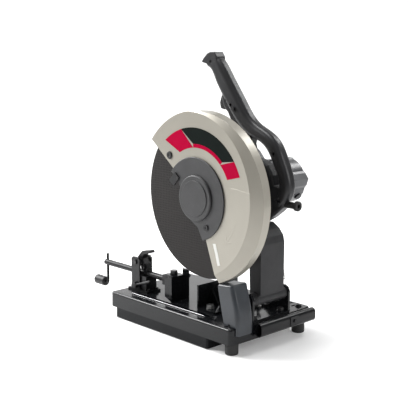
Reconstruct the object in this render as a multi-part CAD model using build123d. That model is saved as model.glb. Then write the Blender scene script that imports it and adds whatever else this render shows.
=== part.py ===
from build123d import *
import math
import os

os.makedirs("parts", exist_ok=True)

# Abrasive chop saw. +Z up, operator at -Y, pivot at +Y, wheel on the +X side.
# All sizes in mm. Positions are in the layout frame; SHIFT moves the finished
# parts so that the origin is the bottom centre of the whole saw's box.
SHIFT = (0.0, 37.75, 0.0)

# base
BASE_HX = 128.0
BASE_HY = 204.0
BASE_TOP = 60.0
APRON_Z = 25.0
SHEET = 3.0
SLOT_X0, SLOT_X1 = 88.5, 99.0
SLOT_Y0, SLOT_Y1 = -138.0, 106.0
TROUGH_X0 = 80.0
TROUGH_Y0, TROUGH_Y1 = -184.0, 134.0
TROUGH_Z0 = 2.0
TROUGH_WALL = 2.5
FOOT_X, FOOT_Y, FOOT_R = 107.0, 186.0, 14.5
BENCH_X = (-90.0, 20.0)
BENCH_Y = (-186.0, 118.0)
BENCH_R = 4.5
TUBE_Y, TUBE_Z = 213.2, 45.0
TUBE_X0, TUBE_X1 = -124.0, 54.0
HOOD_SCREW_X = (75.0, 91.0)

# head pivot and wheel axis
PIV_Y, PIV_Z = 186.0, 104.0
PIV_R = 8.0
RUN = 0.05
WH_X, WH_Y, WH_Z = 94.0, 90.0, 322.0
WH_R, WH_T, WH_BORE = 177.5, 3.0, 12.7

# gear pair on parallel axes
GEAR_M = 1.25
N_PIN, N_GEAR = 20, 80
GEAR_CD = GEAR_M * (N_PIN + N_GEAR) / 2
MOT_ANG = math.radians(21.8)
MOT_Y = WH_Y + GEAR_CD * math.cos(MOT_ANG)
MOT_Z = WH_Z + GEAR_CD * math.sin(MOT_ANG)
GEAR_X0, GEAR_X1 = 42.0, 54.0

# guard
GRD_Y, GRD_Z, GRD_R = 87.0, 320.5, 185.0
GRD_X0, GRD_X1 = 86.0, 117.0
GRD_BEVEL_X = 106.0
BEVEL_Y, BEVEL_Z, BEVEL_R0, BEVEL_R1 = 66.0, 325.0, 206.0, 178.0
GRD_WALL = 2.0
GRD_A0, GRD_A1 = -70.0, 141.0

# vise
SC_X, SC_Z, SC_R = 60.0, 103.0, 7.0
JAW_Y = -30.0
PIN_Y = -50.0


def box(x0, x1, y0, y1, z0, z1):
    return Pos((x0 + x1) / 2, (y0 + y1) / 2, (z0 + z1) / 2) * Box(x1 - x0, y1 - y0, z1 - z0)


def cyl_x(y, z, r, x0, x1):
    return Pos((x0 + x1) / 2, y, z) * Rot(0, 90, 0) * Cylinder(r, x1 - x0)


def cyl_y(x, z, r, y0, y1):
    return Pos(x, (y0 + y1) / 2, z) * Rot(90, 0, 0) * Cylinder(r, y1 - y0)


def cyl_z(x, y, r, z0, z1):
    return Pos(x, y, (z0 + z1) / 2) * Cylinder(r, z1 - z0)


def hex_x(y, z, flats, x0, x1):
    return extrude(Plane.YZ.offset(x0) * Pos(y, z) * RegularPolygon(flats / math.sqrt(3), 6), amount=x1 - x0)


def hex_z(x, y, flats, z0, z1):
    return extrude(Plane.XY.offset(z0) * Pos(x, y) * RegularPolygon(flats / math.sqrt(3), 6), amount=z1 - z0)


def prism_x(points, x0, x1):
    face = make_face(Polyline(*points, close=True))
    return extrude(Plane.YZ.offset(x0) * face, amount=x1 - x0)


def prism_z(points, z0, z1):
    face = make_face(Polyline(*points, close=True))
    return extrude(Plane.XY.offset(z0) * face, amount=z1 - z0)


def spline_prism_x(points, x0, x1):
    face = make_face(Spline(*points, periodic=True))
    return extrude(Plane.YZ.offset(x0) * face, amount=x1 - x0)


def rod_between(p, q, r):
    direction = Vector(*q) - Vector(*p)
    plane = Plane(origin=p, z_dir=direction)
    return extrude(plane * Circle(r), amount=direction.length)


def fillet_if_possible(solid, edges, radii):
    for radius in radii:
        try:
            result = fillet(edges, radius)
        except (ValueError, RuntimeError):
            continue
        if result.is_valid:
            return result
    return solid


def group(solids):
    result = solids[0]
    for piece in solids[1:]:
        result += piece
    return result


def wedge(y, z, a0, a1, radius, x0, x1):
    steps = max(2, int(abs(a1 - a0) / 15))
    pts = [(y, z)]
    for i in range(steps + 1):
        a = math.radians(a0 + (a1 - a0) * i / steps)
        pts.append((y + radius * math.cos(a), z + radius * math.sin(a)))
    return prism_x(pts, x0, x1)


# ---------------------------------------------------------------- base body

def base_pan():
    solid = box(-BASE_HX, BASE_HX, -BASE_HY, BASE_HY, APRON_Z, BASE_TOP)
    solid = fillet(solid.edges().filter_by(Axis.Z), 9)
    solid = fillet(solid.faces().sort_by(Axis.Z)[-1].edges(), 4)
    inner = box(-BASE_HX + SHEET, BASE_HX - SHEET, -BASE_HY + SHEET, BASE_HY - SHEET,
                APRON_Z - 1, BASE_TOP - SHEET)
    inner = fillet(inner.edges().filter_by(Axis.Z), 6)
    solid -= inner
    solid -= box(SLOT_X0, SLOT_X1, SLOT_Y0, SLOT_Y1, BASE_TOP - 10, BASE_TOP + 5)
    for x in BENCH_X:
        for y in BENCH_Y:
            solid -= cyl_z(x, y, BENCH_R, BASE_TOP - 10, BASE_TOP + 5)
    for x, y in ((-112.0, 158.0), (-102.0, 176.0), (-84.0, 150.0)):
        solid -= Pos(x, y, BASE_TOP - 4) * extrude(SlotOverall(16, 6), amount=10)
    for x, y in foot_points():
        solid -= cyl_z(x, y, 4.2, BASE_TOP - 10, BASE_TOP + 5)
    for x, y in fence_bolt_points():
        solid -= cyl_z(x, y, 5.0, BASE_TOP - 10, BASE_TOP + 5)
    bead = box(101.0, 104.0, -153.0, 134.0, BASE_TOP - 0.5, BASE_TOP + 1.8)
    bead = fillet(bead.edges().filter_by(Axis.Z), 1.45)
    solid += bead
    return solid


def foot_points():
    return ((FOOT_X, FOOT_Y), (-FOOT_X, FOOT_Y), (-FOOT_X, -FOOT_Y))


def spark_trough():
    body = box(TROUGH_X0, BASE_HX - SHEET, TROUGH_Y0, TROUGH_Y1, TROUGH_Z0, BASE_TOP - SHEET)
    skirt = box(TROUGH_X0, BASE_HX, TROUGH_Y0, TROUGH_Y1, TROUGH_Z0, APRON_Z)
    skirt = fillet(skirt.edges().filter_by(Axis.Z).sort_by(Axis.X)[-2:], 5)
    body += skirt
    w = TROUGH_WALL
    body -= box(TROUGH_X0 + w, BASE_HX - SHEET - w, TROUGH_Y0 + w, TROUGH_Y1 - w,
                TROUGH_Z0 + w, BASE_TOP)
    body -= cyl_z(104.0, -160.0, 5.0, 0.0, 10.0)
    return body


def rubber_feet():
    solids = []
    for x, y in foot_points():
        foot = cyl_z(x, y, FOOT_R, 0.0, BASE_TOP - SHEET)
        foot = fillet(foot.edges().sort_by(Axis.Z)[0], 2.5)
        foot -= cyl_z(x, y, 4.0, 20.0, BASE_TOP)
        foot -= cyl_z(x, y, 7.5, -1.0, 8.0)
        solids.append(foot)
    pad = cyl_z(104.0, -160.0, 14.0, 0.0, TROUGH_Z0)
    pad += cyl_z(104.0, -160.0, 5.0, TROUGH_Z0, 7.0)
    solids.append(pad)
    return group(solids)


def foot_bolts():
    solids = []
    for x, y in foot_points():
        bolt = cyl_z(x, y, 4.0, 20.0, BASE_TOP)
        bolt += cyl_z(x, y, 8.0, BASE_TOP, BASE_TOP + 1.4)
        head = cyl_z(x, y, 6.5, BASE_TOP + 1.4, BASE_TOP + 5.0)
        head = fillet(head.edges().sort_by(Axis.Z)[-1], 2.0)
        bolt += head
        bolt -= hex_z(x, y, 5.0, BASE_TOP + 2.6, BASE_TOP + 6)
        solids.append(bolt)
    return group(solids)


def carry_tube():
    outer = Plane.YZ.offset(TUBE_X0) * Pos(TUBE_Y, TUBE_Z) * Rot(0, 0, 90) * SlotOverall(30, 18)
    inner = Plane.YZ.offset(TUBE_X0) * Pos(TUBE_Y, TUBE_Z) * Rot(0, 0, 90) * SlotOverall(26.4, 14.4)
    tube = extrude(outer, amount=TUBE_X1 - TUBE_X0)
    tube -= extrude(inner, amount=TUBE_X1 - TUBE_X0)
    return tube


def tube_clip():
    clip = box(-66.0, -38.0, 222.2, 223.6, 36.0, 55.0)
    clip = fillet(clip.edges().filter_by(Axis.Y), 2.0)
    clip += cyl_y(-52.0, 45.5, 4.0, 223.6, 226.0)
    return clip


def pivot_bracket():
    outline = [(128, 60), (203, 60), (203, 108), (198, 117), (190, 121), (180, 121), (172, 116), (132, 76), (128, 70)]
    far = prism_x(outline, -58.0, -52.0)
    near = prism_x(outline, 56.0, 62.0)
    floor = box(-58.0, 62.0, 128.0, 203.0, BASE_TOP, BASE_TOP + 5)
    web = box(-58.0, 62.0, 128.0, 133.0, BASE_TOP, 76.0)
    bracket = far + near + floor + web
    bracket -= cyl_x(PIV_Y, PIV_Z, PIV_R, -60.0, 64.0)
    for x, y in bracket_bolt_points():
        bracket -= cyl_z(x, y, 4.2, BASE_TOP - 1, BASE_TOP + 6)
    return bracket


def bracket_bolt_points():
    return ((-40.0, 150.0), (44.0, 150.0), (-40.0, 190.0), (44.0, 190.0))


def bracket_bolts():
    solids = []
    for x, y in bracket_bolt_points():
        bolt = hex_z(x, y, 13.0, BASE_TOP + 6.6, BASE_TOP + 12)
        bolt += cyl_z(x, y, 8.0, BASE_TOP + 5, BASE_TOP + 6.6)
        bolt += cyl_z(x, y, 4.2, BASE_TOP, BASE_TOP + 5)
        solids.append(bolt)
    return group(solids)


def pivot_shaft():
    shaft = cyl_x(PIV_Y, PIV_Z, PIV_R, -67.0, 66.0)
    shaft += cyl_x(PIV_Y, PIV_Z, 12.0, 62.0, 66.0)
    return shaft


def pivot_nut():
    nut = hex_x(PIV_Y, PIV_Z, 19.0, -65.5, -59.6)
    nut += cyl_x(PIV_Y, PIV_Z, 12.0, -59.6, -58.0)
    nut -= cyl_x(PIV_Y, PIV_Z, PIV_R, -68.0, -57.0)
    return nut


def torsion_spring():
    wire = 1.7
    coil = Helix(pitch=4.0, height=14.0, radius=14.5)
    path = Plane(origin=(40.2, PIV_Y, PIV_Z), z_dir=(1, 0, 0), x_dir=(0, 0, -1)) * coil
    section = Plane(origin=path @ 0, z_dir=path % 0) * Circle(wire)
    spring = sweep(section, path=path)
    return spring


def stop_bolt():
    bolt = cyl_z(-20.0, 143.0, 4.0, BASE_TOP + 5, 88.0)
    bolt += hex_z(-20.0, 143.0, 13.0, 82.0, 88.0)
    bolt += hex_z(-20.0, 143.0, 13.0, BASE_TOP + 5, BASE_TOP + 10)
    return bolt


def spark_hood():
    x0, x1 = 66.5, 115.0
    back = Spline((194, 150), (204, 112), (210.5, 78), (211.5, 44), tangents=[(0.18, -1), (0, -1)])
    rest = Polyline((211.5, 44), (205, 44), (205, 61), (171, 61), (165, 84), (157, 118), (151, 146), (194, 150))
    hood = extrude(Plane.YZ.offset(x0) * make_face([back, rest]), amount=x1 - x0)
    sides = [e for e in hood.edges() if e.length > 90 and e.center().Y > 190]
    hood = fillet_if_possible(hood, sides, (9.0, 7.0, 5.0, 3.0))
    roof = [e for e in hood.edges() if e.center().Z > 145]
    hood = fillet_if_possible(hood, roof, (5.0, 4.0, 3.0, 2.0, 1.0))
    cavity = [(140, 160), (140, 142.6), (186, 146), (198, 108), (205, 70), (205, 64), (140, 64)]
    hood -= prism_x(cavity, x0 + 2.5, x1 - 2.5)
    for x in HOOD_SCREW_X:
        hood -= cyl_z(x, 190.0, 2.6, 55.0, 68.0)
    hood -= cyl_z(FOOT_X, FOOT_Y, 8.6, 55.0, 66.0)
    return hood


def hood_screws():
    solids = []
    for x in HOOD_SCREW_X:
        screw = cyl_z(x, 190.0, 2.6, 61.0, 64.0)
        screw += cyl_z(x, 190.0, 5.0, 64.0, 67.0)
        solids.append(screw)
    return group(solids)


def fence_bolt_points():
    return ((60.0, 72.0), (15.0, 72.0))


def fence_bolts():
    solids = []
    for x, y in fence_bolt_points():
        bolt = cyl_z(x, y, 5.0, BASE_TOP - SHEET - 8, BASE_TOP + 4.6)
        bolt += cyl_z(x, y, 9.0, BASE_TOP + 4.6, BASE_TOP + 6.4)
        bolt += hex_z(x, y, 16.0, BASE_TOP + 6.4, BASE_TOP + 13)
        bolt += hex_z(x, y, 16.0, BASE_TOP - SHEET - 8, BASE_TOP - SHEET)
        solids.append(bolt)
    return group(solids)


def fence():
    plate = box(-50.0, 76.0, 46.0, 50.0, BASE_TOP + 0.3, 116.0)
    leg = prism_z([(-50, 50), (76, 50), (76, 100), (68, 106), (-6, 106), (-50, 78)], BASE_TOP + 0.3, BASE_TOP + 4.3)
    part = plate + leg
    for x in (-49.0, 30.0):
        part += prism_x([(50, 64.3), (72, 64.3), (50, 100)], x, x + 4)
    part -= cyl_z(60.0, 72.0, 5.0 + RUN, 50.0, 70.0)
    ring = cyl_z(60.0, 72.0, 50.8, 50.0, 70.0) - cyl_z(60.0, 72.0, 39.2, 50.0, 70.0)
    a0, a1 = math.radians(142), math.radians(200)
    sector = prism_z([(60, 72), (60 + 80 * math.cos(a0), 72 + 80 * math.sin(a0)),
                      (60 - 90, 72), (60 + 80 * math.cos(a1), 72 + 80 * math.sin(a1))], 50.0, 70.0)
    part -= ring & sector
    for x in (10.0, 50.0):
        part += cyl_y(x, 98.0, 4.0, 49.0, 52.5)
    return part


# ---------------------------------------------------------------- vise

def vise_bracket():
    plate = box(38.0, 80.0, -196.0, -124.0, BASE_TOP, BASE_TOP + 5)
    block = box(44.0, 76.0, -182.0, -132.0, BASE_TOP + 5, 99.0)
    cheek_line = [(-182, 65), (-152, 65), (-152, 138), (-157, 143), (-177, 143), (-182, 138)]
    cheeks = prism_x(cheek_line, 76.0, 80.0) + prism_x(cheek_line, 40.0, 44.0)
    part = plate + block + cheeks
    part -= cyl_y(SC_X, SC_Z, SC_R + 0.3, -200.0, -120.0)
    part -= cyl_x(-168.0, 131.0, 4.0, 30.0, 90.0)
    part -= cyl_x(-166.0, 75.0, 4.0 + RUN, 70.0, 90.0)
    return part


def vise_base_bolts():
    solids = []
    for y in (-189.0, -127.5):
        for x in (46.0, 72.0):
            bolt = hex_z(x, y, 6.0, BASE_TOP + 5, BASE_TOP + 10)
            solids.append(bolt)
    return group(solids)


def claw_pin():
    pin = cyl_x(-168.0, 131.0, 4.0, 37.0, 83.0)
    pin += cyl_x(-168.0, 131.0, 6.5, 80.0, 83.0)
    pin += cyl_x(-168.0, 131.0, 6.5, 37.0, 40.0)
    return pin


def vise_claw():
    hub = cyl_x(-168.0, 131.0, 9.0, 52.0, 68.0)
    lever = prism_x([(-176, 127), (-172, 142), (-156, 158), (-130, 163), (-127, 159), (-130, 156),
                     (-150, 151), (-155, 140), (-146, 128), (-140, 127), (-139, 110.6), (-160, 110.6),
                     (-161, 120)], 52.0, 68.0)
    part = hub + lever
    part += hex_x(-147.0, 119.5, 10.0, 68.0, 74.0)
    part -= cyl_x(-168.0, 131.0, 4.0 + RUN, 40.0, 80.0)
    part -= cyl_y(SC_X, SC_Z, SC_R + 0.35, -200.0, -120.0)
    return part


def vise_lock_lever():
    stub = cyl_x(-166.0, 75.0, 4.0, 78.0, 88.0)
    hub = cyl_x(-166.0, 75.0, 8.0, 80.4, 87.6)
    arm = rod_between((84.0, -166.0, 75.0), (84.0, -114.0, 92.0), 2.6)
    grip = rod_between((84.0, -136.0, 84.8), (84.0, -108.0, 94.0), 3.6)
    return stub + hub + arm + grip


def vise_nose():
    nose = cyl_z(SC_X, PIN_Y, 13.5, 90.0, 117.0)
    nose += box(50.0, 70.0, -80.0, -50.0, 91.0, 115.0)
    nose -= cyl_z(SC_X, PIN_Y, 5.0 + RUN, 80.0, 130.0)
    nose -= cyl_y(SC_X, SC_Z, 5.0 + RUN, -90.0, -58.0)
    return nose


def vise_jaw():
    plate = box(33.0, 85.0, JAW_Y - 4, JAW_Y, BASE_TOP + 0.5, 120.0)
    flange = box(30.0, 33.0, JAW_Y - 20, JAW_Y + 0.0, BASE_TOP + 0.5, 129.0)
    near = prism_x([(JAW_Y - 4, 62), (JAW_Y - 4, 120), (JAW_Y - 24, 112), (JAW_Y - 24, 70)], 82.0, 85.0)
    top = box(44.0, 76.0, PIN_Y - 12, JAW_Y - 3, 117.4, 120.0)
    bottom = box(44.0, 76.0, PIN_Y - 12, JAW_Y - 3, 86.0, 89.6)
    part = plate + flange + near + top + bottom
    part -= cyl_z(SC_X, PIN_Y, 5.0, 80.0, 130.0)
    return part


def jaw_pin():
    pin = cyl_z(SC_X, PIN_Y, 5.0, 83.0, 120.0)
    pin += cyl_z(SC_X, PIN_Y, 9.0, 120.0, 121.8)
    pin += hex_z(SC_X, PIN_Y, 16.0, 121.8, 129.0)
    return pin


def vise_screw():
    screw = cyl_y(SC_X, SC_Z, SC_R, -311.0, -80.3)
    screw = chamfer(screw.edges().sort_by(Axis.Y)[0], 1.0)
    screw += cyl_y(SC_X, SC_Z, 5.0, -81.0, -59.0)
    screw -= cyl_z(SC_X, -303.0, 3.3, 80.0, 130.0)
    return screw


def crank_rod():
    rod = cyl_z(SC_X, -303.0, 3.3, 56.0, 126.0)
    bend = revolve(Plane(origin=(SC_X, -303.0, 56.0), z_dir=(0, 0, 1)) * Circle(3.3),
                   axis=Axis((SC_X, -308.0, 56.0), (-1, 0, 0)), revolution_arc=90)
    rod += bend
    rod += cyl_y(SC_X, 51.0, 3.3, -351.0, -308.0)
    return rod


def crank_knob():
    knob = cyl_y(SC_X, 51.0, 12.0, -349.0, -312.0)
    knob = fillet(knob.edges().filter_by(GeomType.CIRCLE), 2.5)
    knob -= cyl_y(SC_X, 51.0, 3.3 + RUN, -360.0, -300.0)
    return knob


# ---------------------------------------------------------------- head body

def arm():
    outline = [(203, 116), (203, 224), (199, 238), (188, 251), (170, 262), (132, 262), (132, 240), (160, 210),
               (170, 170), (172, 116)]
    solid = prism_x(outline, -36.0, 38.0)
    cavity = [(199, 100), (199, 223), (195, 236), (185, 247), (168, 257), (100, 257), (100, 240), (150, 205),
              (150, 100)]
    solid -= prism_x(cavity, -32.0, 34.0)
    solid += cyl_x(PIV_Y, PIV_Z, 14.0, -51.6, 38.0)
    solid += box(-36.0, 38.0, 174.0, 198.0, PIV_Z, 117.0)
    solid -= cyl_x(PIV_Y, PIV_Z, PIV_R + RUN, -60.0, 60.0)
    solid += cyl_x(189.0, 176.5, 2.0, -45.0, -35.0)
    solid += cyl_x(189.0, 176.5, 4.0, -46.5, -45.0)
    return solid


def gear_case():
    w = cyl_x(WH_Y, WH_Z, 58.0, 20.0, 62.0)
    m = cyl_x(MOT_Y, MOT_Z, 50.0, -18.0, 40.0)
    link = prism_x([(70, 272), (130, 262), (170, 262), (196, 300), (196, 340), (100, 376), (40, 330)], -18.0, 40.0)
    nose = cyl_x(WH_Y, WH_Z, 30.0, 60.0, 79.7)
    body = w + m + link + nose + cyl_x(WH_Y, WH_Z, 50.0, 75.0, GRD_X0)
    body -= cyl_x(WH_Y, WH_Z, 30.0, 79.7, GRD_X0 + 1)
    body -= cyl_x(WH_Y, WH_Z, 53.5, 38.0, 58.0)
    body -= cyl_x(MOT_Y, MOT_Z, 16.0, 38.0, 58.0)
    body -= cyl_x(MOT_Y, MOT_Z, 44.0, -20.0, 14.0)
    body -= cyl_x(MOT_Y, MOT_Z, 8.0, 10.0, 62.0)
    body -= cyl_x(MOT_Y, MOT_Z, 16.0, 24.0, 38.0)
    body -= cyl_x(WH_Y, WH_Z, 14.0, 15.0, 90.0)
    body -= cyl_x(WH_Y, WH_Z, 24.0, 62.0, 74.0)
    body -= cyl_x(WH_Y, WH_Z, 20.0, 26.0, 38.0)
    body -= cyl_z(68.0, WH_Y, 4.0 + RUN, WH_Z + 10, WH_Z + 80)
    return body


def bearings():
    solids = []
    specs = ((WH_Y, WH_Z, 24.0, 12.5, 62.0, 74.0), (WH_Y, WH_Z, 20.0, 12.5, 26.0, 38.0),
             (MOT_Y, MOT_Z, 16.0, 6.0, 26.0, 36.0), (MOT_Y, MOT_Z, 11.0, 6.0, -112.0, -104.0))
    for y, z, ro, ri, x0, x1 in specs:
        solids.append(cyl_x(y, z, ro, x0, x1) - cyl_x(y, z, ri + RUN, x0 - 1, x1 + 1))
    return group(solids)


MOTOR_SIDE = ((118, 388), (132, 394), (148, 396.5), (159, 396), (197, 365), (206, 353), (201, 338), (193, 329),
              (192, 320), (183, 311), (164, 300), (150, 296), (124, 300))


def motor_housing():
    shell = cyl_x(MOT_Y, MOT_Z, 50.0, -84.0, -18.0) + prism_x(MOTOR_SIDE, -84.0, -26.0)
    shell = fillet_if_possible(shell, shell.edges().filter_by(Axis.X).filter_by(lambda e: e.length > 50),
                               (3.0, 2.0, 1.0))
    shell -= cyl_x(MOT_Y, MOT_Z, 46.0, -90.0, -10.0)
    for a in (60, 76, 92, 108, -60, -80):
        y = MOT_Y + 50.0 * math.cos(math.radians(a))
        z = MOT_Z + 50.0 * math.sin(math.radians(a))
        shell -= Pos(-38.0, y, z) * Rot(a, 0, 0) * Box(14.0, 24.0, 4.0)
    return shell


def motor_end_cap():
    cap = cyl_x(MOT_Y, MOT_Z, 50.0, -108.0, -84.0)
    cone = Pos(-112.0, MOT_Y, MOT_Z) * Rot(0, -90, 0) * Cone(50.0, 42.0, 8.0)
    side = prism_x(MOTOR_SIDE, -112.0, -84.0)
    rim = side.edges().filter_by(Axis.X, reverse=True).filter_by(lambda e: e.center().X < -111.0)
    cap += fillet_if_possible(side, rim, (4.0, 3.0, 2.0, 1.0))
    cap += cone
    cap -= cyl_x(MOT_Y, MOT_Z, 45.0, -104.0, -80.0)
    cap -= cyl_x(MOT_Y, MOT_Z, 11.0, -112.0, -100.0)
    for a in brush_angles():
        cap -= radial_plug(a, 8.0 + RUN, 30.0, 66.0)
    for i in range(6):
        a = math.radians(60 * i + 30)
        cap -= cyl_x(MOT_Y + 28 * math.cos(a), MOT_Z + 28 * math.sin(a), 5.0, -120.0, -100.0)
    return cap


def brush_angles():
    return (-38.0, 142.0)


def radial_plug(angle, radius, r0, r1):
    a = math.radians(angle)
    start = (-95.0, MOT_Y + r0 * math.cos(a), MOT_Z + r0 * math.sin(a))
    end = (-95.0, MOT_Y + r1 * math.cos(a), MOT_Z + r1 * math.sin(a))
    return rod_between(start, end, radius)


def brush_caps():
    solids = []
    for a in brush_angles():
        cap = radial_plug(a, 8.0, 46.0, 54.0)
        solids.append(cap)
    return group(solids)


def brushes():
    solids = []
    for a in brush_angles():
        solids.append(radial_plug(a, 4.0, 14.4, 30.0))
    return group(solids)


def stator():
    ring = cyl_x(MOT_Y, MOT_Z, 45.8, -74.0, -24.0) - cyl_x(MOT_Y, MOT_Z, 26.0, -80.0, -20.0)
    return ring


def field_coils():
    solids = []
    for x0, x1 in ((-82.0, -74.2), (-23.8, -19.0)):
        ring = cyl_x(MOT_Y, MOT_Z, 42.0, x0, x1) - cyl_x(MOT_Y, MOT_Z, 27.0, x0 - 1, x1 + 1)
        solids.append(ring)
    return group(solids)


GRIP_W = 16.0
GRIP_CORNER = 12.0
WEB_W = 13.0
# centre line of the grip and the rear strap: y, z, outward normal (y, z), half depth
GRIP_LINE = ((28.0, 604.0, 0.80, 0.60, 17.5), (49.0, 579.0, 0.80, 0.60, 18.5), (73.0, 544.5, 0.80, 0.60, 19.5),
             (98.5, 510.5, 0.78, 0.62, 19.5), (128.0, 477.0, 0.64, 0.77, 17.5), (153.0, 461.0, 0.50, 0.87, 15.5),
             (175.0, 452.0, 0.52, 0.85, 14.5), (201.0, 434.0, 0.68, 0.73, 15.5), (222.0, 400.0, 0.87, 0.49, 15.0),
             (238.0, 362.0, 1.0, 0.03, 14.5), (236.0, 334.0, 0.96, -0.28, 14.0), (224.0, 315.0, 0.72, -0.69, 13.5))


def grip_section(y, z, ny, nz, depth):
    plane = Plane(origin=(0, y, z), x_dir=(1, 0, 0), z_dir=(0, nz, -ny))
    return plane * RectangleRounded(2 * GRIP_W, 2 * depth, GRIP_CORNER)


def handle_body():
    strap = loft([grip_section(*station) for station in GRIP_LINE])
    head = prism_x([(14, 596), (10, 601), (-5, 604.5), (-4, 608), (3, 616), (12, 623.5), (21, 627), (35, 627),
                    (42, 617), (44, 600), (30, 590)], -14.0, 14.0)
    head = fillet_if_possible(head, head.edges().filter_by(Axis.X, reverse=True), (4.0, 3.0, 2.0, 1.0))
    web = prism_x([(56, 537), (57, 526), (62, 512), (68, 503), (75, 497), (83, 483), (91, 474), (103, 464),
                   (108, 430), (114, 390), (122, 332), (150, 290), (172, 263.5), (184, 269), (204, 280),
                   (223, 294), (238, 307), (240, 330), (228, 350), (214, 352), (208, 372), (194, 392),
                   (178, 400), (166, 403), (154, 417), (145, 423), (142, 433), (146, 446), (158, 458),
                   (120, 485), (90, 515)], -WEB_W, WEB_W)
    web = fillet_if_possible(web, web.edges().filter_by(Axis.X, reverse=True), (6.0, 5.0, 4.0, 3.0, 2.0))
    body = strap + head + web
    body -= cyl_x(MOT_Y, MOT_Z, 52.0, -30.0, 30.0)
    body -= prism_x([(60, 262), (132, 262.8), (172.5, 262.2), (197, 299.5), (197, 341), (101, 378), (30, 340)],
                    -30.0, 30.0)
    body -= box(-7.6, 7.6, 30.0, 72.0, 500.0, 534.0)
    body -= box(-10.0, 10.0, 60.0, 92.0, 500.0, 530.0)
    body -= cyl_y(0.0, 313.0, 7.05, 200.0, 262.0)
    for y, z in HANDLE_SCREWS:
        body -= cyl_x(y, z, 3.6, 11.0, 20.0)
    return body


HANDLE_SCREWS = ((24.0, 606.0), (70.0, 522.0), (88.0, 514.0), (214.0, 418.0), (230.0, 320.0), (122.0, 440.0))


def handle_near():
    part = handle_body() & box(0.05, 30.0, -30.0, 280.0, 240.0, 640.0)
    part -= cyl_x(98.0, 506.0, 4.0 + RUN, 7.0, 20.0)
    return part


def handle_far():
    return handle_body() & box(-30.0, -0.05, -30.0, 280.0, 240.0, 640.0)


def handle_screws():
    return group([cyl_x(y, z, 3.2, 11.0, 12.6) for y, z in HANDLE_SCREWS])


def trigger():
    shape = prism_x([(52, 531), (47, 517), (50, 505), (62, 502.5), (70, 504), (70, 531), (58, 533)], -7.2, 7.2)
    shape -= cyl_x(64.0, 527.0, 2.0 + RUN, -20.0, 20.0)
    return shape


def trigger_pin():
    return cyl_x(64.0, 527.0, 2.0, -7.5, 7.5)


def switch_block():
    return box(-9.5, 6.0, 74.5, 91.0, 503.0, 528.0)


def lock_button():
    return cyl_x(98.0, 506.0, 4.0, 10.4, 20.5)


def cord_gland():
    gland = cyl_y(0.0, 313.0, 7.0, 212.0, 266.0)
    flange = cyl_y(0.0, 313.0, 10.5, 264.0, 272.0)
    flange = fillet(flange.edges().filter_by(GeomType.CIRCLE), 1.5)
    gland += flange
    gland -= cyl_y(0.0, 313.0, 4.5, 200.0, 280.0)
    return gland


COVER_Y, COVER_Z, COVER_R = 84.0, 319.0, 89.6


def cover_outline(radius, boss, x0, x1):
    keep = [(12, 372), (20, 384), (-30, 450), (210, 450), (210, 210), (124, 210), (111, 234), (96, 260),
            (62, 280), (48, 300), (46, 330), (36, 351)]
    return (cyl_x(COVER_Y, COVER_Z, radius, x0, x1) & prism_x(keep, x0, x1)) + cyl_x(WH_Y, WH_Z, boss, x0, x1)


def guard_solid(offset):
    x0, x1 = GRD_X0 + offset, GRD_X1 - offset
    drum = cyl_x(GRD_Y, GRD_Z, GRD_R - offset, x0, x1)
    cone = Pos((GRD_BEVEL_X + x1) / 2, BEVEL_Y, BEVEL_Z) * Rot(0, 90, 0)
    cone *= Cone(BEVEL_R0 - offset, BEVEL_R1 - offset, x1 - GRD_BEVEL_X)
    return drum & (cyl_x(BEVEL_Y, BEVEL_Z, BEVEL_R0 - offset, x0, GRD_BEVEL_X) + cone)


def guard_shell():
    w = GRD_WALL
    outer = guard_solid(0.0)
    rim = [e for e in outer.edges() if e.length > 60 and e.center().X > GRD_X0 + 5]
    outer = fillet_if_possible(outer, rim, (1.5, 1.0, 0.6))
    shell = outer - guard_solid(w)
    keep = wedge(GRD_Y, GRD_Z, GRD_A0, GRD_A1, 230.0, GRD_X0 - 5, GRD_X1 + 5)
    shell &= keep
    hub = cover_outline(COVER_R - 3.0, 48.0, GRD_X1 - w, GRD_X1)
    back = cyl_x(WH_Y, WH_Z, 52.0, GRD_X0, GRD_X0 + w)
    shell += hub
    shell += back
    shell -= cyl_x(WH_Y, WH_Z, 44.0, GRD_X1 - 5, GRD_X1 + 5)
    shell -= cyl_x(WH_Y, WH_Z, 30.0, GRD_X0 - 5, GRD_X0 + 5)
    shell -= cyl_x(COVER_PY, COVER_PZ, 3.0, GRD_X1 - 5, GRD_X1 + 5)
    return shell


def guard_screws():
    solids = []
    for a in (20, 90, 160, 250, 310):
        y = WH_Y + 41.0 * math.cos(math.radians(a))
        z = WH_Z + 41.0 * math.sin(math.radians(a))
        solids.append(cyl_x(y, z, 4.0, GRD_X0 + GRD_WALL, GRD_X0 + GRD_WALL + 2.4))
    return group(solids)


COVER_PY, COVER_PZ = 122.0, 263.0


def centre_cover():
    plate = cover_outline(COVER_R, 49.0, GRD_X1 + 0.4, GRD_X1 + 3.4)
    rim = [e for e in plate.edges() if e.length > 100 and e.center().X > GRD_X1 + 3]
    plate = fillet_if_possible(plate, rim, (1.4, 1.0, 0.6))
    boss = cyl_x(WH_Y, WH_Z, 49.0, GRD_X1 + 3.4, GRD_X1 + 8.0)
    boss = fillet(boss.edges().sort_by(Axis.X)[-1], 3.0)
    disc = cyl_x(WH_Y, WH_Z, 38.0, GRD_X1 + 8.0, GRD_X1 + 9.5)
    disc = fillet(disc.edges().sort_by(Axis.X)[-1], 0.8)
    cover = plate + boss + disc
    cover -= cyl_x(WH_Y, WH_Z, 34.0, GRD_X1 - 1, GRD_X1 + 6.0)
    cover -= cyl_x(COVER_PY, COVER_PZ, 3.0 + RUN, GRD_X1 - 1, GRD_X1 + 12)
    return cover


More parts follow.
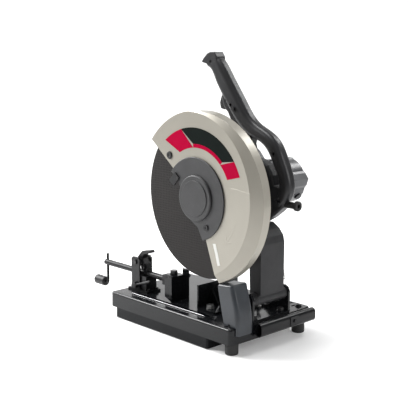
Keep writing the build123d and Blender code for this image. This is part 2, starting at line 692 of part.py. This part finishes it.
def cover_pivot():
    pin = cyl_x(COVER_PY, COVER_PZ, 3.0, GRD_X1 - GRD_WALL, GRD_X1 + 4.0)
    pin += cyl_x(COVER_PY, COVER_PZ, 6.5, GRD_X1 + 3.8, GRD_X1 + 6.0)
    pin -= hex_x(COVER_PY, COVER_PZ, 4.0, GRD_X1 + 4.6, GRD_X1 + 7)
    return pin


def cover_latch():
    tab = prism_x([(8, 352), (26, 372), (40, 360), (24, 342)], GRD_X1 + 3.5, GRD_X1 + 6.5)
    tab = fillet(tab.edges().filter_by(Axis.X), 3.0)
    return tab


# ---------------------------------------------------------------- wheel body

def cutting_wheel():
    return cyl_x(WH_Y, WH_Z, WH_R, WH_X - WH_T / 2, WH_X + WH_T / 2) - cyl_x(WH_Y, WH_Z, WH_BORE, 80.0, 110.0)


def spindle():
    shaft = cyl_x(WH_Y, WH_Z, 12.5, 24.0, 97.0)
    shaft -= cyl_x(WH_Y, WH_Z, 5.0, 80.0, 98.0)
    return shaft


def inner_flange():
    disc = cyl_x(WH_Y, WH_Z, 27.0, 82.6, WH_X - WH_T / 2) - cyl_x(WH_Y, WH_Z, 12.5, 70.0, 100.0)
    disc -= cyl_x(WH_Y, WH_Z, 22.0, WH_X - WH_T / 2 - 1, WH_X)
    return disc


def outer_flange():
    disc = cyl_x(WH_Y, WH_Z, 38.0, WH_X + WH_T / 2, 101.0)
    disc -= cyl_x(WH_Y, WH_Z, 12.5, 90.0, 97.0)
    disc -= cyl_x(WH_Y, WH_Z, 5.0, 90.0, 110.0)
    disc -= cyl_x(WH_Y, WH_Z, 26.0, WH_X, WH_X + WH_T / 2 + 1) - cyl_x(WH_Y, WH_Z, 12.7, 90, 100)
    return disc


def arbor_bolt():
    bolt = cyl_x(WH_Y, WH_Z, 5.0, 82.0, 103.0)
    bolt += cyl_x(WH_Y, WH_Z, 11.0, 101.0, 103.0)
    bolt += hex_x(WH_Y, WH_Z, 17.0, 103.0, 110.0)
    return bolt


def gear_points(teeth, module, phase):
    pitch_r = teeth * module / 2
    step = 2 * math.pi / teeth
    pts = []
    for i in range(teeth):
        c = phase + i * step
        for radius, frac in ((pitch_r - 1.35 * module, -0.36), (pitch_r, -0.225), (pitch_r + 0.85 * module, -0.12),
                             (pitch_r + 0.85 * module, 0.12), (pitch_r, 0.225), (pitch_r - 1.35 * module, 0.36)):
            a = c + frac * step
            pts.append((radius * math.cos(a), radius * math.sin(a)))
    return pts


def spur(teeth, y, z, phase, bore):
    pts = [(y + u, z + v) for u, v in gear_points(teeth, GEAR_M, phase)]
    return prism_x(pts, GEAR_X0, GEAR_X1) - cyl_x(y, z, bore, GEAR_X0 - 1, GEAR_X1 + 1)


def spindle_gear():
    return spur(N_GEAR, WH_Y, WH_Z, MOT_ANG, 12.5)


def armature():
    shaft = cyl_x(MOT_Y, MOT_Z, 6.0, -111.5, 57.0)
    core = cyl_x(MOT_Y, MOT_Z, 25.0, -74.0, -24.0)
    winding = cyl_x(MOT_Y, MOT_Z, 20.0, -84.0, -19.0)
    commutator = cyl_x(MOT_Y, MOT_Z, 14.0, -102.0, -86.0)
    return shaft + core + winding + commutator


def motor_pinion():
    return spur(N_PIN, MOT_Y, MOT_Z, MOT_ANG + math.pi + math.pi / N_PIN, 6.0)


def cooling_fan():
    fan = cyl_x(MOT_Y, MOT_Z, 40.0, -3.0, 0.0)
    fan += cyl_x(MOT_Y, MOT_Z, 13.0, -14.0, -1.0)
    for i in range(10):
        blade = Pos(-8.0, 0, 0) * Box(11.0, 26.0, 2.0)
        fan += Pos(0, MOT_Y, MOT_Z) * Rot(36.0 * i, 0, 0) * Pos(0, 24.5, 0) * blade
    fan -= cyl_x(MOT_Y, MOT_Z, 6.0, -20.0, 5.0)
    return fan


def spindle_lock():
    pin = cyl_z(68.0, WH_Y, 4.0, WH_Z + 31, WH_Z + 46)
    pin += cyl_z(68.0, WH_Y, 5.5, WH_Z + 36, WH_Z + 46)
    return pin


def lock_chain():
    parts = []
    z = 168.0
    for i in range(5):
        link = Torus(4.2, 1.1)
        if i % 2 == 0:
            link = Rot(0, 90, 0) * link
        else:
            link = Rot(90, 0, 0) * link
        parts.append(Pos(-42.5, 190.0 + 1.6 * i, z) * link)
        z -= 6.6
    chain = parts[0]
    for p in parts[1:]:
        chain += p
    return chain


NODES = {
    "base_pan": base_pan, "spark_trough": spark_trough, "rubber_feet": rubber_feet, "foot_bolts": foot_bolts,
    "carry_tube": carry_tube, "tube_clip": tube_clip, "pivot_bracket": pivot_bracket,
    "bracket_bolts": bracket_bolts, "pivot_shaft": pivot_shaft, "pivot_nut": pivot_nut,
    "torsion_spring": torsion_spring, "stop_bolt": stop_bolt, "spark_hood": spark_hood,
    "hood_screws": hood_screws, "fence_bolts": fence_bolts, "fence": fence,
    "vise_bracket": vise_bracket, "vise_base_bolts": vise_base_bolts, "claw_pin": claw_pin,
    "vise_claw": vise_claw, "vise_lock_lever": vise_lock_lever,
    "vise_nose": vise_nose, "vise_jaw": vise_jaw, "jaw_pin": jaw_pin, "vise_screw": vise_screw,
    "crank_rod": crank_rod, "crank_knob": crank_knob, "arm": arm, "gear_case": gear_case,
    "bearings": bearings, "motor_housing": motor_housing,
    "motor_end_cap": motor_end_cap, "brush_caps": brush_caps, "brushes": brushes, "stator": stator,
    "field_coils": field_coils, "handle_near": handle_near, "handle_far": handle_far,
    "handle_screws": handle_screws, "trigger": trigger, "trigger_pin": trigger_pin,
    "switch_block": switch_block, "lock_button": lock_button, "cord_gland": cord_gland,
    "guard_shell": guard_shell, "guard_screws": guard_screws, "centre_cover": centre_cover,
    "cover_pivot": cover_pivot, "cover_latch": cover_latch, "cutting_wheel": cutting_wheel,
    "spindle": spindle, "inner_flange": inner_flange, "outer_flange": outer_flange,
    "arbor_bolt": arbor_bolt, "spindle_gear": spindle_gear, "armature": armature,
    "motor_pinion": motor_pinion, "cooling_fan": cooling_fan, "spindle_lock": spindle_lock,
    "lock_chain": lock_chain,
}

for name, make in NODES.items():
    shape = Pos(*SHIFT) * make()
    export_step(shape, f"parts/{name}.step")
    size = shape.bounding_box()
    print(name, [round(v, 1) for v in (*size.min, *size.max)], len(shape.solids()))
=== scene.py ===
import bpy, bmesh, math
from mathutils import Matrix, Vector


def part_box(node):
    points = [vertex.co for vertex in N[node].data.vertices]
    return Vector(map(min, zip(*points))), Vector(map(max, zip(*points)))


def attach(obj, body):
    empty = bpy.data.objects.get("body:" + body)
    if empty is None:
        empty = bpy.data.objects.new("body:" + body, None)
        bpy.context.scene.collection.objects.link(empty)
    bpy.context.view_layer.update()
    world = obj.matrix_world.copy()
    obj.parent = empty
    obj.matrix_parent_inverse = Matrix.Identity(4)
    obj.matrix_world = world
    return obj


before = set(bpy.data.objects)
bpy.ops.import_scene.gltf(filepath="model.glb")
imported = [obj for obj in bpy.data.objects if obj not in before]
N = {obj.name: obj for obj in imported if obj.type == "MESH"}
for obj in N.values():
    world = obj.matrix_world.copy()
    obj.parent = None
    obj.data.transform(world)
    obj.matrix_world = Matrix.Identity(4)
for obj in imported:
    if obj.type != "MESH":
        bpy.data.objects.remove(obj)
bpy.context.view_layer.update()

MM = 0.001


# ------------------------------------------------------------ materials

def nodes_of(name):
    """A new material: its node tree, its shader and its texture coordinates."""
    m = bpy.data.materials.new(name)
    m.use_nodes = True
    nt = m.node_tree
    nt.nodes.clear()
    out = nt.nodes.new("ShaderNodeOutputMaterial")
    sh = nt.nodes.new("ShaderNodeBsdfPrincipled")
    nt.links.new(sh.outputs[0], out.inputs[0])
    tc = nt.nodes.new("ShaderNodeTexCoord")
    return m, nt, sh, tc


def noise(nt, vec, scale, detail=3.0, rough=0.5, stretch=None):
    if stretch:
        mp = nt.nodes.new("ShaderNodeMapping")
        mp.inputs["Scale"].default_value = stretch
        nt.links.new(vec, mp.inputs["Vector"])
        vec = mp.outputs[0]
    n = nt.nodes.new("ShaderNodeTexNoise")
    n.inputs["Scale"].default_value = scale
    n.inputs["Detail"].default_value = detail
    n.inputs["Roughness"].default_value = rough
    nt.links.new(vec, n.inputs["Vector"])
    return n.outputs["Fac"]


def ramp(nt, fac, lo, hi, a, b):
    """fac, mapped from lo..hi to a..b."""
    r = nt.nodes.new("ShaderNodeMapRange")
    r.inputs["From Min"].default_value = lo
    r.inputs["From Max"].default_value = hi
    r.inputs["To Min"].default_value = a
    r.inputs["To Max"].default_value = b
    nt.links.new(fac, r.inputs["Value"])
    return r.outputs[0]


def mix(nt, fac, a, b):
    """Two colours mixed by fac; each is a colour or a socket."""
    m = nt.nodes.new("ShaderNodeMix")
    m.data_type = "RGBA"
    nt.links.new(fac, m.inputs["Factor"])
    for sock, v in ((m.inputs[6], a), (m.inputs[7], b)):
        if isinstance(v, tuple):
            sock.default_value = (*v, 1.0)
        else:
            nt.links.new(v, sock)
    return m.outputs[2]


def bump(nt, sh, height, strength, dist):
    b = nt.nodes.new("ShaderNodeBump")
    b.inputs["Strength"].default_value = strength
    b.inputs["Distance"].default_value = dist
    nt.links.new(height, b.inputs["Height"])
    nt.links.new(b.outputs[0], sh.inputs["Normal"])


def surface(name, color, dark=0.8, light=1.2, rough=(0.4, 0.55), metal=0.0, blotch=28.0, grain=1500.0,
            grain_strength=0.15, grain_dist=0.0002, coat=0.0, coat_rough=0.1, stretch=None, spec=0.5):
    """Blotched colour between dark and light, with a fine grain in roughness and bump."""
    m, nt, sh, tc = nodes_of(name)
    vec = tc.outputs["Object"]
    big = noise(nt, vec, blotch, 4.0, 0.6)
    fine = noise(nt, vec, grain, 2.0, 0.6, stretch)
    darker = tuple(v * dark for v in color)
    lighter = tuple(min(1, v * light) for v in color)
    c = mix(nt, ramp(nt, big, 0.3, 0.7, 0.0, 1.0), darker, lighter)
    nt.links.new(c, sh.inputs["Base Color"])
    nt.links.new(ramp(nt, fine, 0.3, 0.7, rough[0], rough[1]), sh.inputs["Roughness"])
    sh.inputs["Metallic"].default_value = metal
    sh.inputs["Coat Weight"].default_value = coat
    sh.inputs["Coat Roughness"].default_value = coat_rough
    sh.inputs["Specular IOR Level"].default_value = spec
    bump(nt, sh, fine, grain_strength, grain_dist)
    return m


MAT = {
    "gloss": surface("gloss_black_paint", (0.006, 0.0065, 0.0075), rough=(0.13, 0.20), grain=260.0,
                     grain_strength=0.05, spec=0.26),
    "satin": surface("satin_black_paint", (0.006, 0.006, 0.007), rough=(0.28, 0.40), grain=700.0,
                     grain_strength=0.08, spec=0.26),
    # light grey metallic paint on the bead's crown: a painted highlight along the black bead, not wear
    "lip": surface("lip_paint_painted_highlight", (0.12, 0.12, 0.125), rough=(0.20, 0.24), grain=900.0,
                   grain_strength=0.01, metal=0.5, coat=1.0, coat_rough=0.06),
    # a darker, less reflective copy of the gloss black for the base's side (spark trough): painted shade
    "side": surface("base_side_painted_shade", (0.005, 0.0055, 0.0065), rough=(0.15, 0.22), grain=500.0,
                    grain_strength=0.04, spec=0.12),
    "panel": surface("arm_panel_paint", (0.024, 0.024, 0.0255), rough=(0.42, 0.52), grain=900.0,
                     grain_strength=0.08, spec=0.25),
    "guard": surface("champagne_paint", (0.335, 0.316, 0.272), dark=0.97, light=1.03, rough=(0.34, 0.44),
                     metal=0.45, blotch=9.0, grain=2600.0, grain_strength=0.05, coat=0.2, coat_rough=0.2),
    "hood": surface("hood_moulding", (0.022, 0.026, 0.032), rough=(0.30, 0.42), grain=1700.0,
                    grain_strength=0.10),
    "grey": surface("grey_moulding", (0.016, 0.016, 0.0175), rough=(0.32, 0.42), grain=1900.0,
                    grain_strength=0.18, spec=0.34),
    "motor": surface("motor_moulding", (0.055, 0.056, 0.060), rough=(0.28, 0.38), grain_strength=0.25),
    "dark": surface("dark_moulding", (0.010, 0.010, 0.011), rough=(0.38, 0.52), grain=1700.0,
                    grain_strength=0.2, spec=0.35),
    "cover": surface("cover_moulding", (0.028, 0.028, 0.0295), rough=(0.42, 0.54), grain=1900.0,
                     grain_strength=0.2),
    "rubber": surface("black_rubber", (0.012, 0.012, 0.012), rough=(0.6, 0.78), grain=900.0,
                      grain_strength=0.3),
    "zinc": surface("zinc_plate", (0.50, 0.50, 0.49), rough=(0.24, 0.40), metal=1.0, grain=800.0,
                    grain_strength=0.1),
    "steel": surface("blackened_steel", (0.030, 0.030, 0.031), rough=(0.26, 0.40), metal=0.6, grain=1100.0),
    "bright": surface("bright_steel", (0.60, 0.60, 0.59), rough=(0.18, 0.34), metal=1.0, grain=600.0,
                      stretch=(1.0, 14.0, 14.0), grain_strength=0.08),
    "alloy": surface("cast_alloy", (0.022, 0.022, 0.024), rough=(0.42, 0.6), metal=0.3, grain=520.0,
                     grain_strength=0.3, grain_dist=0.0004),
    "copper": surface("enamelled_copper", (0.45, 0.17, 0.08), rough=(0.3, 0.45), metal=0.9, grain=700.0,
                      stretch=(20.0, 1.0, 1.0), grain_strength=0.3),
    "carbon": surface("carbon_brush", (0.03, 0.03, 0.03), rough=(0.5, 0.7), grain=900.0),
    "crimson": surface("crimson_print", (0.37, 0.000, 0.030), dark=0.95, light=1.05, rough=(0.34, 0.42),
                       grain_strength=0.03, spec=0.03),
    "label_dark": surface("dark_print", (0.002, 0.005, 0.004), rough=(0.34, 0.42), grain_strength=0.03,
                          spec=0.08),
    "label_white": surface("white_print", (0.62, 0.62, 0.59), dark=0.97, light=1.03, rough=(0.3, 0.4),
                           grain_strength=0.03),
}


MESH_SCALE = 58.0


def bands(nt, vec, axis):
    """Wavy threads across one axis."""
    w = nt.nodes.new("ShaderNodeTexWave")
    w.wave_type = "BANDS"
    w.bands_direction = axis
    w.inputs["Scale"].default_value = MESH_SCALE
    w.inputs["Distortion"].default_value = 2.4
    w.inputs["Detail"].default_value = 2.0
    w.inputs["Detail Scale"].default_value = 3.0
    nt.links.new(vec, w.inputs["Vector"])
    return w.outputs["Fac"]


def abrasive():
    """Glass-fibre mesh in both directions under abrasive grit."""
    m, nt, sh, tc = nodes_of("abrasive_mesh")
    vec = tc.outputs["Object"]
    top = nt.nodes.new("ShaderNodeMath")
    top.operation = "MAXIMUM"
    nt.links.new(bands(nt, vec, "Y"), top.inputs[0])
    nt.links.new(bands(nt, vec, "Z"), top.inputs[1])
    grit = noise(nt, vec, 900.0, 4.0, 0.7)
    both = nt.nodes.new("ShaderNodeMath")
    both.operation = "MULTIPLY_ADD"
    nt.links.new(grit, both.inputs[0])
    both.inputs[1].default_value = 0.8
    nt.links.new(top.outputs[0], both.inputs[2])
    weave = ramp(nt, both.outputs[0], 0.5, 1.7, 0.0, 1.0)
    c = mix(nt, weave, (0.008, 0.0075, 0.0072), (0.030, 0.027, 0.0265))
    stain = ramp(nt, noise(nt, vec, 9.0, 3.0, 0.5), 0.35, 0.7, 0.0, 0.35)
    c = mix(nt, stain, c, (0.022, 0.019, 0.018))
    nt.links.new(c, sh.inputs["Base Color"])
    sh.inputs["Specular IOR Level"].default_value = 0.25
    nt.links.new(ramp(nt, grit, 0.3, 0.7, 0.62, 0.9), sh.inputs["Roughness"])
    bump(nt, sh, both.outputs[0], 0.35, 0.0004)
    return m


MAT["abrasive"] = abrasive()

NODES_IN = {
    "gloss": "base_pan pivot_bracket fence vise_jaw",
    "side": "spark_trough",
    "satin": "carry_tube tube_clip vise_bracket vise_claw vise_nose vise_screw crank_rod",
    "panel": "arm",
    "guard": "guard_shell",
    "hood": "spark_hood",
    "grey": "handle_near handle_far",
    "motor": "motor_housing motor_end_cap",
    "cover": "centre_cover",
    "dark": "crank_knob brush_caps trigger switch_block lock_button cover_latch cooling_fan spindle_lock",
    "rubber": "rubber_feet cord_gland",
    "zinc": "pivot_nut stop_bolt hood_screws fence_bolts trigger_pin guard_screws inner_flange outer_flange "
            "arbor_bolt lock_chain",
    "steel": "foot_bolts bracket_bolts pivot_shaft torsion_spring vise_base_bolts claw_pin vise_lock_lever "
             "jaw_pin stator handle_screws cover_pivot",
    "bright": "bearings spindle spindle_gear armature motor_pinion",
    "alloy": "gear_case",
    "copper": "field_coils",
    "carbon": "brushes",
    "abrasive": "cutting_wheel",
}

# the width in millimetres of the rounding on each node's sharp edges
EDGE_MM = {"base_pan": 1.2, "arm": 2.5, "fence": 0.5, "vise_jaw": 0.5, "vise_bracket": 0.6,
           "pivot_bracket": 0.7, "gear_case": 2.0, "vise_nose": 1.0, "vise_claw": 1.0,
           "spark_trough": 1.0, "tube_clip": 0.3}
EDGE_SEGMENTS = 3
EDGE_ANGLE = math.radians(35)

for key, names in NODES_IN.items():
    for name in names.split():
        mesh = N[name].data
        mesh.materials.clear()
        mesh.materials.append(MAT[key])
        for p in mesh.polygons:
            p.material_index = 0

for name, width in EDGE_MM.items():
    b = N[name].modifiers.new("edge", "BEVEL")
    b.width = width * MM
    b.segments = EDGE_SEGMENTS
    b.limit_method = "ANGLE"
    b.angle_limit = EDGE_ANGLE
    b.harden_normals = False


# ------------------------------------------------------------ pieces

WHEEL_LO, WHEEL_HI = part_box("cutting_wheel")
HUB = (WHEEL_LO + WHEEL_HI) / 2
FACE_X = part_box("guard_shell")[1].x


def at(dy, dz):
    """A point on the guard's face, in millimetres from the wheel's axis."""
    return Vector((FACE_X, HUB.y + dy * MM, HUB.z + dz * MM))


def polar(cy, cz, r, a):
    a = math.radians(a)
    return cy + r * math.cos(a), cz + r * math.sin(a)


def span(a, b, n):
    return [a + (b - a) * i / (n - 1) for i in range(n)]


def sharp_by_angle(ob, deg):
    bm = bmesh.new()
    bm.from_mesh(ob.data)
    for e in bm.edges:
        e.smooth = len(e.link_faces) == 2 and e.calc_face_angle(3.2) < math.radians(deg)
    bm.to_mesh(ob.data)
    bm.free()


def piece(name, bm, key, sharp):
    """Turn a finished mesh into an object with its material, smooth up to the sharp angle."""
    bmesh.ops.recalc_face_normals(bm, faces=bm.faces)
    me = bpy.data.meshes.new(name)
    bm.normal_update()
    bm.to_mesh(me)
    bm.free()
    for p in me.polygons:
        p.use_smooth = True
    ob = bpy.data.objects.new(name, me)
    bpy.context.scene.collection.objects.link(ob)
    ob.data.materials.append(MAT[key])
    sharp_by_angle(ob, sharp)
    return ob


def skin(bm, rings):
    """Faces between neighbouring rings of vertices, and a cap on each end."""
    n = len(rings[0])
    for a, b in zip(rings, rings[1:]):
        for i in range(n):
            j = (i + 1) % n
            bm.faces.new((a[i], a[j], b[j], b[i]))
    bm.faces.new(rings[0][::-1])
    bm.faces.new(rings[-1])


# the printed band's blank fields, as thin plates on the guard's face
PLATE_EDGE = 0.12 * MM
PLATE_X0 = FACE_X - 0.1 * MM
PLATE_X1 = FACE_X + 0.28 * MM


def strip_piece(name, outer, inner, key):
    """A thin curved plate between two rows of (y, z) points, with a small edge radius."""
    bm = bmesh.new()
    x0, x1, e = PLATE_X0, PLATE_X1, PLATE_EDGE
    rows = []
    for o, i in zip(outer, inner):
        o, i = at(*o), at(*i)
        d = (i - o).normalized() * e
        row = ((x0, o.y, o.z), (x1 - e, o.y, o.z), (x1, o.y + d.y, o.z + d.z),
               (x1, i.y - d.y, i.z - d.z), (x1 - e, i.y, i.z), (x0, i.y, i.z))
        rows.append([bm.verts.new(v) for v in row])
    skin(bm, rows)
    ob = piece(name, bm, key, 30)
    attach(ob, "head")


OUT_C, OUT_R = (-9.0, 3.5), 145.0
IN_C, IN_R = (-2.0, 5.0), 101.5
LINE_W = 8.0


def arcs(outer, inner, n=28):
    """Two rows of points along arcs, each given as (centre, radius, first angle, last angle)."""
    return [[polar(*c, r, a) for a in span(a0, a1, n)] for c, r, a0, a1 in (outer, inner)]


strip_piece("label_crimson_front", *arcs((OUT_C, OUT_R, 129, 106.1), (IN_C, IN_R, 120, 95.1)), "crimson")
strip_piece("label_dark_band", *arcs((OUT_C, OUT_R, 106, 35.1), (IN_C, IN_R + LINE_W + 0.1, 95.0, 45.1), 60),
            "label_dark")
strip_piece("label_crimson_rear", *arcs((OUT_C, OUT_R, 35, 21.5), (IN_C, IN_R, 45, 25)), "crimson")
strip_piece("label_crimson_line", *arcs((IN_C, IN_R + LINE_W, 95.0, 45.1), (IN_C, IN_R, 95.0, 45.1), 40),
            "crimson")
strip_piece("blank_strip", [(48.5, -91), (56, -112), (63, -136)], [(57, -90), (64.5, -111), (70.5, -134)],
            "label_white")

# raised marks pressed into the guard's face: a turning arrow and a rib
RIB_H = 0.45
RIB_SINK = 0.15
RIB_ARC = 8


def rib(name, pts, width):
    """A low rounded rib along a path on the guard's face."""
    bm = bmesh.new()
    rings = []
    for k, (y, z) in enumerate(pts):
        y0, z0 = pts[max(k - 1, 0)]
        y1, z1 = pts[min(k + 1, len(pts) - 1)]
        d = Vector((0, y1 - y0, z1 - z0)).normalized()
        side = Vector((0, -d.z, d.y))
        ring = []
        for t in span(0, math.pi, RIB_ARC + 1):
            rise = Vector(((RIB_H * math.sin(t) - RIB_SINK) * MM, 0, 0))
            ring.append(bm.verts.new(at(y, z) + side * (width / 2 * math.cos(t) * MM) + rise))
        rings.append(ring)
    skin(bm, rings)
    ob = piece(name, bm, "guard", 50)
    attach(ob, "head")


ARROW_R = 121
ARROW_TIP = -44
rib("arrow_shaft", [polar(0, 0, ARROW_R, a) for a in span(-20, ARROW_TIP, 14)], 5.0)
rib("arrow_head", [polar(0, 0, ARROW_R + d, ARROW_TIP + abs(d) * 0.62) for d in span(-9, 9, 7)], 4.0)
rib("face_rib", [(101, 32), (128, 29.5), (155, 26)], 1.6)

# the rubber bumper near the guard's front edge, turned about X: (along, radius)
BUMPER = [(-0.2, 8.5), (1.4, 8.5), (2.6, 7.6), (3.0, 6.2), (2.6, 3.6), (1.6, 2.4), (1.4, 0.6)]
BUMPER_SEG = 40


def bumper(name, centre, body):
    bm = bmesh.new()
    z = Vector((1, 0, 0))
    x = z.orthogonal().normalized()
    y = z.cross(x)
    rings = []
    for h, r in BUMPER:
        ring = []
        for i in range(BUMPER_SEG):
            t = 2 * math.pi * i / BUMPER_SEG
            ring.append(bm.verts.new(centre + z * h * MM + (x * math.cos(t) + y * math.sin(t)) * r * MM))
        rings.append(ring)
    skin(bm, rings)
    ob = piece(name, bm, "rubber", 40)
    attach(ob, body)


bumper("guard_bumper", at(-86, 84), "head")

# the vise screw's thread, one ridge wound along the rod
SCREW_LO, SCREW_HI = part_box("vise_screw")
SCREW_MID = (SCREW_LO + SCREW_HI) / 2
SCREW_R = (SCREW_HI.x - SCREW_LO.x) / 2
PITCH = 5 * MM
TURN_SEG = 20


def thread(name, y0, y1, body):
    bm = bmesh.new()
    root, crest = SCREW_R - 0.3 * MM, SCREW_R + 0.28 * MM
    centre = Vector((SCREW_MID.x, 0, SCREW_MID.z))
    rows = []
    for k in range(int((y1 - y0) / PITCH * TURN_SEG) + 1):
        t = 2 * math.pi * k / TURN_SEG
        y = y0 + PITCH * k / TURN_SEG
        u = Vector((math.cos(t), 0, math.sin(t)))
        profile = ((root, -0.30), (crest, -0.12), (crest, 0.12), (root, 0.30))
        rows.append([bm.verts.new(centre + u * r + Vector((0, y + PITCH * s, 0))) for r, s in profile])
    skin(bm, rows)
    ob = piece(name, bm, "satin", 30)
    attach(ob, body)


thread("screw_thread", SCREW_LO.y + 16 * MM, SCREW_HI.y - 30 * MM, "screw_body")

# the half-round crown of the bead beside the slot, along Y, in light grey paint: a painted highlight along
# the black bead
PAN_LO, PAN_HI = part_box("base_pan")
CROWN_R = 1.6 * MM
CROWN_FLAT = 0.8
CROWN_ARC = 10


def crown(name, x, y0, y1, z, body):
    bm = bmesh.new()
    rings = []
    for y in (y0, y1):
        rings.append([bm.verts.new((x + CROWN_R * math.cos(t), y, z + CROWN_FLAT * CROWN_R * math.sin(t)))
                      for t in span(0, math.pi, CROWN_ARC + 1)])
    skin(bm, rings)
    ob = piece(name, bm, "lip", 50)
    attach(ob, body)


crown("bead_crown", PAN_HI.x - 25.5 * MM, PAN_LO.y + 52 * MM, PAN_HI.y - 108 * MM,
      PAN_HI.z - 0.4 * MM, "base")


# ------------------------------------------------------------ stage

CAM_AZ = math.radians(136.55)
CAM_EL = math.radians(9.97)
CAM_AT = (1.3067, 1.4071, 0.6153)
CAM_LENS = 73.8

FLOOR_HALF = 4.0
FLOOR_BACK = 1.6
SWEEP_R = 1.2
SWEEP_STEPS = 12
WALL_H = 3.0
FLOOR_GLOW = 0.16
WORLD_LIGHT = 0.15


def stage():
    """A pale floor that sweeps up into a wall behind the object."""
    profile = [(-FLOOR_HALF, 0.0), (FLOOR_BACK, 0.0)]
    for i in range(1, SWEEP_STEPS + 1):
        a = math.pi / 2 * i / SWEEP_STEPS
        profile.append((FLOOR_BACK + SWEEP_R * math.sin(a), SWEEP_R - SWEEP_R * math.cos(a)))
    profile.append((FLOOR_BACK + SWEEP_R, WALL_H + SWEEP_R))
    away = Vector((-math.sin(CAM_AZ), math.cos(CAM_AZ), 0))
    side = Vector((away.y, -away.x, 0))
    bm = bmesh.new()
    rows = []
    for d, z in profile:
        middle = away * d + Vector((0, 0, z))
        rows.append([bm.verts.new(middle + side * w) for w in (-FLOOR_HALF, FLOOR_HALF)])
    for a, b in zip(rows, rows[1:]):
        bm.faces.new((a[0], a[1], b[1], b[0]))
    me = bpy.data.meshes.new("floor_sheet")
    bm.to_mesh(me)
    bm.free()
    for p in me.polygons:
        p.use_smooth = True
    ob = bpy.data.objects.new("floor_sheet", me)
    bpy.context.scene.collection.objects.link(ob)
    floor = surface("pale_floor", (0.86, 0.86, 0.86), dark=0.99, light=1.01, rough=(0.5, 0.6), grain=60.0,
                    grain_strength=0.02)
    sh = next(n for n in floor.node_tree.nodes if n.type == "BSDF_PRINCIPLED")
    sh.inputs["Emission Color"].default_value = (1.0, 1.0, 1.0, 1.0)
    sh.inputs["Emission Strength"].default_value = FLOOR_GLOW
    ob.data.materials.append(floor)


def area(name, loc, target, size, power, size_y=None):
    lamp = bpy.data.lights.new(name, "AREA")
    lamp.energy = power
    lamp.size = size
    if size_y:
        lamp.shape = "RECTANGLE"
        lamp.size_y = size_y
    o = bpy.data.objects.new(name, lamp)
    o.location = loc
    o.rotation_mode = "QUATERNION"
    o.rotation_quaternion = (Vector(target) - Vector(loc)).to_track_quat("-Z", "Y")
    bpy.context.scene.collection.objects.link(o)


def camera():
    cam = bpy.data.cameras.new("camera")
    cam.lens = CAM_LENS
    cam.sensor_width = 36.0
    o = bpy.data.objects.new("camera", cam)
    o.location = CAM_AT
    level = math.cos(CAM_EL)
    ahead = Vector((-math.sin(CAM_AZ) * level, math.cos(CAM_AZ) * level, -math.sin(CAM_EL)))
    o.rotation_mode = "QUATERNION"
    o.rotation_quaternion = ahead.to_track_quat("-Z", "Y")
    bpy.context.scene.collection.objects.link(o)
    bpy.context.scene.camera = o


camera()
stage()

world = bpy.data.worlds.new("studio")
world.use_nodes = True
world.node_tree.nodes["Background"].inputs[0].default_value = (1, 1, 1, 1)
world.node_tree.nodes["Background"].inputs[1].default_value = WORLD_LIGHT
bpy.context.scene.world = world
area("key", (1.5, -2.0, 2.0), (0.05, 0.1, 0.35), 0.9, 90)
area("top", (0.2, -0.2, 2.6), (0, 0, 0.2), 0.9, 34)
area("side", (-0.7, 2.4, 1.3), (0, 0.1, 0.3), 0.5, 27, 1.4)
area("front_strip", (1.9, 1.6, 2.2), (0.1, 0, 0.1), 0.25, 5, 1.8)
area("glint", (0.75, -2.1, 1.25), (0.05, 0, 0.45), 1.5, 27, 1.2)
area("back", (0.35, -1.95, 1.85), (0.05, 0, 0.1), 0.8, 20, 0.5)
area("edge", (-1.8, 0.45, 1.95), (0.0, 0.1, 0.1), 0.6, 18)
bpy.context.scene.view_settings.view_transform = "Standard"
